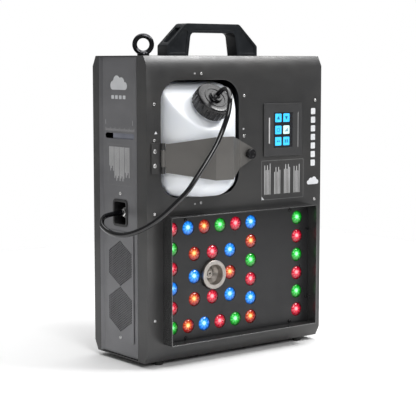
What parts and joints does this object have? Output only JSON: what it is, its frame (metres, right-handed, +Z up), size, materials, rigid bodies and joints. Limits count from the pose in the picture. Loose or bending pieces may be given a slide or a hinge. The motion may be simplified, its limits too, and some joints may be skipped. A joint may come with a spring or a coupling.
{
  "type": "fog machine",
  "caption": "Upright stage fog machine with a fluid bottle held by a hinged strap, a light field round its nozzle, a carry handle and a lifting eye.",
  "frame": {"origin": "on the floor, under the middle of the machine's box without its hose", "axes": "+Z up, +Y towards the back, the nozzle and lights face -Y"},
  "size_m": [0.4312, 0.264, 0.557],
  "materials": {
    "body_paint": "satin powder coat",
    "plate_paint": "satin powder coat",
    "black_plastic": "fine moulded texture",
    "rubber": "matt",
    "black_hose": "glossy",
    "bottle_plastic": "translucent blow-moulded",
    "steel": "satin",
    "dark_chrome": "dark plated",
    "cast_metal": "cast",
    "nozzle_metal": "anodised",
    "lens": "clear moulded",
    "screen_glass": "polished",
    "board": "solder mask",
    "brass": "drawn",
    "insulation": "matt"
  },
  "bodies": {
    "root": {"bottle_bay": "plate_paint", "bottom_panel": "body_paint", "carry_handle": "black_plastic", "control_board": "board", "data_socket_in": "black_plastic", "data_socket_out": "black_plastic", "display_bezel": "black_plastic", "display_board": "board", "display_glass": "screen_glass", "eye_bolt": "dark_chrome", "fan_frame_1": "black_plastic", "fan_frame_2": "black_plastic", "fluid_hose": "black_hose", "foot_1": "rubber", "foot_2": "rubber", "foot_3": "rubber", "foot_4": "rubber", "front_shell": "body_paint", "heater_block": "cast_metal", "heater_feed_pipe": "brass", "heater_jacket": "insulation", "hose_coupling": "steel", "hose_inlet_cup": "black_plastic", "led_board": "board", "led_hood": "body_paint", "led_plate": "plate_paint", "left_side_panel": "body_paint", "lens_array": "lens", "nozzle": "nozzle_metal", "nozzle_flange": "nozzle_metal", "power_inlet": "black_plastic", "power_supply": "cast_metal", "pump_body": "black_plastic", "pump_bracket": "steel", "pump_feed_tube": "black_hose", "rear_foot_1": "rubber", "rear_foot_2": "rubber", "rear_foot_3": "rubber", "rear_foot_4": "rubber", "rear_shell": "body_paint", "right_side_panel": "body_paint", "side_cover": "body_paint", "strap_hinge_leaf": "plate_paint", "strap_hinge_pin": "steel", "switch_frame": "black_plastic", "top_panel": "body_paint"},
    "strap": {"bottle_strap": "plate_paint"},
    "knob": {"strap_knob": "black_plastic"},
    "bottle_body": {"bottle": "bottle_plastic", "cap_fitting": "black_plastic", "pickup_tube": "bottle_plastic"},
    "cap": {"bottle_cap": "black_plastic"},
    "sleeve": {"coupling_sleeve": "black_plastic"},
    "upper_fan": {"fan_rotor_1": "black_plastic"},
    "lower_fan": {"fan_rotor_2": "black_plastic"},
    "plunger": {"pump_plunger": "steel"},
    "rocker": {"power_switch": "black_plastic"},
    "fuse": {"fuse_cap": "black_plastic"}
  },
  "joints": [
    {"name": "strap_swing", "type": "hinge", "parent": "root", "child": "strap", "pos_m": [-0.1585, -0.0532, 0.34], "axis": [0, 0, -1], "range_deg": [0, 137], "deforming": ["fluid_hose"]},
    {"name": "knob_turn", "type": "hinge", "parent": "strap", "child": "knob", "pos_m": [0.0215, -0.049, 0.34], "axis": [0, -1, 0], "continuous": true},
    {"name": "bottle_slide", "type": "slide", "parent": "root", "child": "bottle_body", "axis": [0, -1, 0], "range_m": [0, 0.1436], "deforming": ["fluid_hose"]},
    {"name": "cap_turn", "type": "hinge", "parent": "bottle_body", "child": "cap", "pos_m": [-0.0789, -0.0643, 0.4177], "axis": [0, -0.766, 0.6428], "continuous": true},
    {"name": "sleeve_slide", "type": "slide", "parent": "root", "child": "sleeve", "axis": [-1, 0, 0], "range_m": [0, 0.003], "stiffness_N_per_m": 300},
    {"name": "upper_fan_spin", "type": "hinge", "parent": "root", "child": "upper_fan", "pos_m": [-0.156, 0.0315, 0.163], "axis": [-1, 0, 0], "continuous": true},
    {"name": "lower_fan_spin", "type": "hinge", "parent": "root", "child": "lower_fan", "pos_m": [-0.156, 0.0315, 0.087], "axis": [-1, 0, 0], "continuous": true},
    {"name": "plunger_stroke", "type": "slide", "parent": "root", "child": "plunger", "axis": [-1, 0, 0], "range_m": [0, 0.004], "stiffness_N_per_m": 500},
    {"name": "switch_rock", "type": "hinge", "parent": "root", "child": "rocker", "pos_m": [0.1835, 0.0325, 0.215], "axis": [0, 0, -1], "range_deg": [0, 8]},
    {"name": "fuse_turn", "type": "hinge", "parent": "root", "child": "fuse", "pos_m": [0.1835, 0.0325, 0.128], "axis": [1, 0, 0], "range_deg": [0, 60]}
  ],
  "couplings": [
    {"joint": "bottle_slide", "follows": "strap_swing", "m_per_rad": 0.06}
  ]
}
